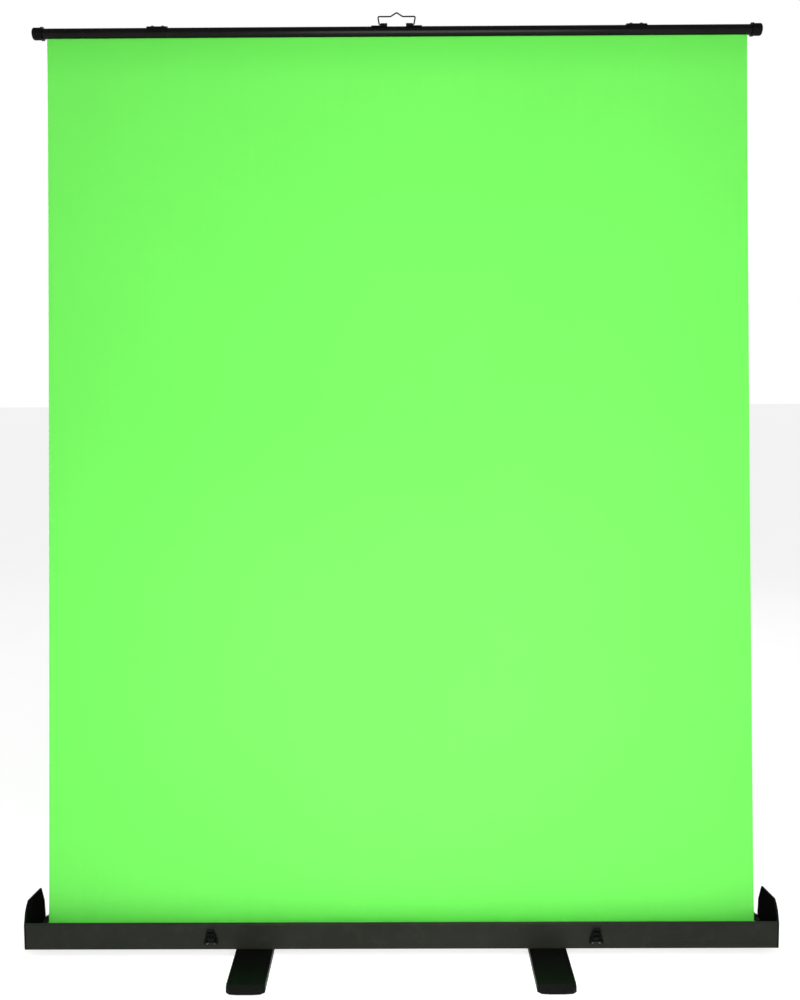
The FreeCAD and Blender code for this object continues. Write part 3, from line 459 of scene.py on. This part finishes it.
def bake(piece):
    bpy.context.view_layer.update()
    graph = bpy.context.evaluated_depsgraph_get()
    made = bpy.data.meshes.new_from_object(piece.evaluated_get(graph), depsgraph=graph)
    piece.modifiers.clear()
    old = piece.data
    piece.data = made
    bpy.data.meshes.remove(old)


def pull(sheet):
    drape = sheet.modifiers.new("drape", "CLOTH")
    for name, value in knit.items():
        setattr(drape.settings, name, value)
    drape.settings.vertex_group_mass = "held"
    drape.collision_settings.use_collision = False
    drape.collision_settings.use_self_collision = False
    scene.frame_start, scene.frame_end = 1, panel["frames"]
    for step in range(1, panel["frames"] + 1):
        scene.frame_set(step)
    graph = bpy.context.evaluated_depsgraph_get()
    moved = sheet.evaluated_get(graph).data
    spots = np.empty(3 * len(moved.vertices))
    moved.vertices.foreach_get("co", spots)
    sheet.modifiers.clear()
    sheet.data.vertices.foreach_set("co", spots)
    sheet.data.update()
    scene.frame_set(1)


greenPanel = makePanel()
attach(greenPanel, "case")
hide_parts("fabric_panel")
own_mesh(greenPanel)
print("panel made,", len(greenPanel.data.polygons), "faces")


# helper springs along the arms: close-wound wire
spring = {
    "wire": 0.0012,  # its thickness, in metres
    "pitch": 0.0026,
    "sides": 6,
    "steps": 12,  # in each turn
}


def makeSpring(node, body):
    shell = nodes[node].data
    spots = np.array([v.co for v in shell.vertices], float)
    centre = spots.mean(0)
    along = np.linalg.svd(spots - centre, full_matrices=False)[2][0]
    run = (spots - centre) @ along
    off = spots - centre - np.outer(run, along)
    outer = float(np.linalg.norm(off - off.mean(0), axis=1).max())
    length = float(run.max() - run.min())
    start = Vector(centre + off.mean(0) + along * run.min())
    wire = spring["wire"] / 2
    turns = int((length - 2 * wire) / spring["pitch"])
    bm = bmesh.new()
    bmesh.ops.create_circle(bm, cap_ends=False, radius=wire, segments=spring["sides"])
    bmesh.ops.rotate(bm, verts=bm.verts, cent=(0, 0, 0), matrix=Matrix.Rotation(math.pi / 2, 3, "X"))
    bmesh.ops.translate(bm, verts=bm.verts, vec=(outer - wire, 0, wire))
    steps = turns * spring["steps"]
    bmesh.ops.spin(
        bm, geom=bm.verts[:] + bm.edges[:], cent=(0, 0, 0), axis=(0, 0, 1),
        dvec=(0, 0, (length - 2 * wire) / steps), angle=turns * 2 * math.pi,
        steps=steps, use_duplicate=False,
    )
    bmesh.ops.holes_fill(bm, edges=[e for e in bm.edges if e.is_boundary], sides=0)
    lay = Vector((0, 0, 1)).rotation_difference(Vector(along)).to_matrix().to_4x4()
    bmesh.ops.transform(bm, matrix=Matrix.Translation(start) @ lay, verts=bm.verts)
    coil = pieceFrom(bm, node + "_coil", "springWire", body)
    for face in coil.data.polygons:
        face.use_smooth = True
    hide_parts(node)


for side in ("left", "right"):
    for row in ("lower", "upper"):
        makeSpring(f"{row}_arm_{side}_spring", f"{row}_arm_{side}")
print("springs made")


# floor, light and camera
studio = {"floor": 60.0, "glow": 0.74, "world": 0.30}
lamps = {  # where each stands, what it faces, its size, power and beam
    "key": dict(spot=(0.16, -1.75, 1.05), aim=(0.08, 0, 1.0), size=(1.0, 1.7), power=38, beam=180),
    "left": dict(spot=(-3.0, -1.6, 2.4), aim=(0, 0, 0.9), size=(1.4, 1.8), power=9, beam=180),
    "right": dict(spot=(3.0, -1.6, 2.4), aim=(0, 0, 0.9), size=(1.4, 1.8), power=9, beam=180),
    "foot": dict(spot=(0, -1.25, 2.0), aim=(0, 0, 0.07), size=(1.5, 0.3), power=2.1, beam=40),
    "behind": dict(spot=(0.6, 3.0, 2.6), aim=(0, 0, 0.8), size=(2.0, 1.6), power=26, beam=180),
}


def makeFloor():
    bm = bmesh.new()
    bmesh.ops.create_grid(bm, x_segments=1, y_segments=1, size=studio["floor"])
    mesh = bpy.data.meshes.new("studio_floor")
    bm.to_mesh(mesh)
    bm.free()
    floor = bpy.data.objects.new("studio_floor", mesh)
    scene.collection.objects.link(floor)
    made, wire, shader = newMaterial(
        "paleFloor", **{"Roughness": 0.9, "Emission Color": (1, 1, 1), "Emission Strength": studio["glow"]}
    )
    shade = grain(wire, layOut(wire), 3, 4).between(0.2, 0.8)
    feed(shade.blend((0.46, 0.46, 0.46), (0.49, 0.49, 0.49)), shader, "Base Color")
    mesh.materials.append(made)


def makeWorld():
    world = bpy.data.worlds.new("studio")
    world.use_nodes = True
    tree = world.node_tree
    tree.nodes.clear()
    wire = Wire(tree)
    seen = wire.add("ShaderNodeLightPath")
    lit = wire.add("ShaderNodeBackground", None, {"Color": (1, 1, 1), "Strength": studio["world"]})
    white = wire.add("ShaderNodeBackground", None, {"Color": (1, 1, 1), "Strength": 1.0})
    both = wire.add("ShaderNodeMixShader", None, {0: seen, 1: lit, 2: white})
    wire.add("ShaderNodeOutputWorld", None, {"Surface": both})
    scene.world = world


def makeLight(name, plan):
    lamp = bpy.data.lights.new(name, "AREA")
    lamp.shape = "RECTANGLE"
    lamp.size, lamp.size_y = plan["size"]
    lamp.energy = plan["power"]
    lamp.spread = math.radians(plan["beam"])
    rig = bpy.data.objects.new(name, lamp)
    scene.collection.objects.link(rig)
    rig.location = plan["spot"]
    rig.rotation_euler = (Vector(plan["aim"]) - Vector(plan["spot"])).to_track_quat("-Z", "Y").to_euler()


makeFloor()
makeWorld()
for name, plan in lamps.items():
    makeLight(name, plan)
print("studio lit,", len(lamps), "lamps")

lens = {
    "spot": (0.0063, -2.0531, 1.1869),
    "pitch": 0.441,
    "yaw": 0.233,
    "roll": -0.279,
    "length": 34.48,
    "shift": (0.0026, -0.120),
}


def makeCamera():
    data = bpy.data.cameras.new("camera")
    data.sensor_width = 36
    data.lens = lens["length"]
    data.shift_x, data.shift_y = lens["shift"]
    camera = bpy.data.objects.new("camera", data)
    scene.collection.objects.link(camera)
    turn = (
        Matrix.Rotation(math.radians(lens["yaw"]), 4, "Z")
        @ Matrix.Rotation(math.radians(90 + lens["pitch"]), 4, "X")
        @ Matrix.Rotation(math.radians(lens["roll"]), 4, "Z")
    )
    camera.matrix_world = Matrix.Translation(lens["spot"]) @ turn
    scene.camera = camera


makeCamera()
scene.view_settings.view_transform = "Standard"
scene.view_settings.look = "None"
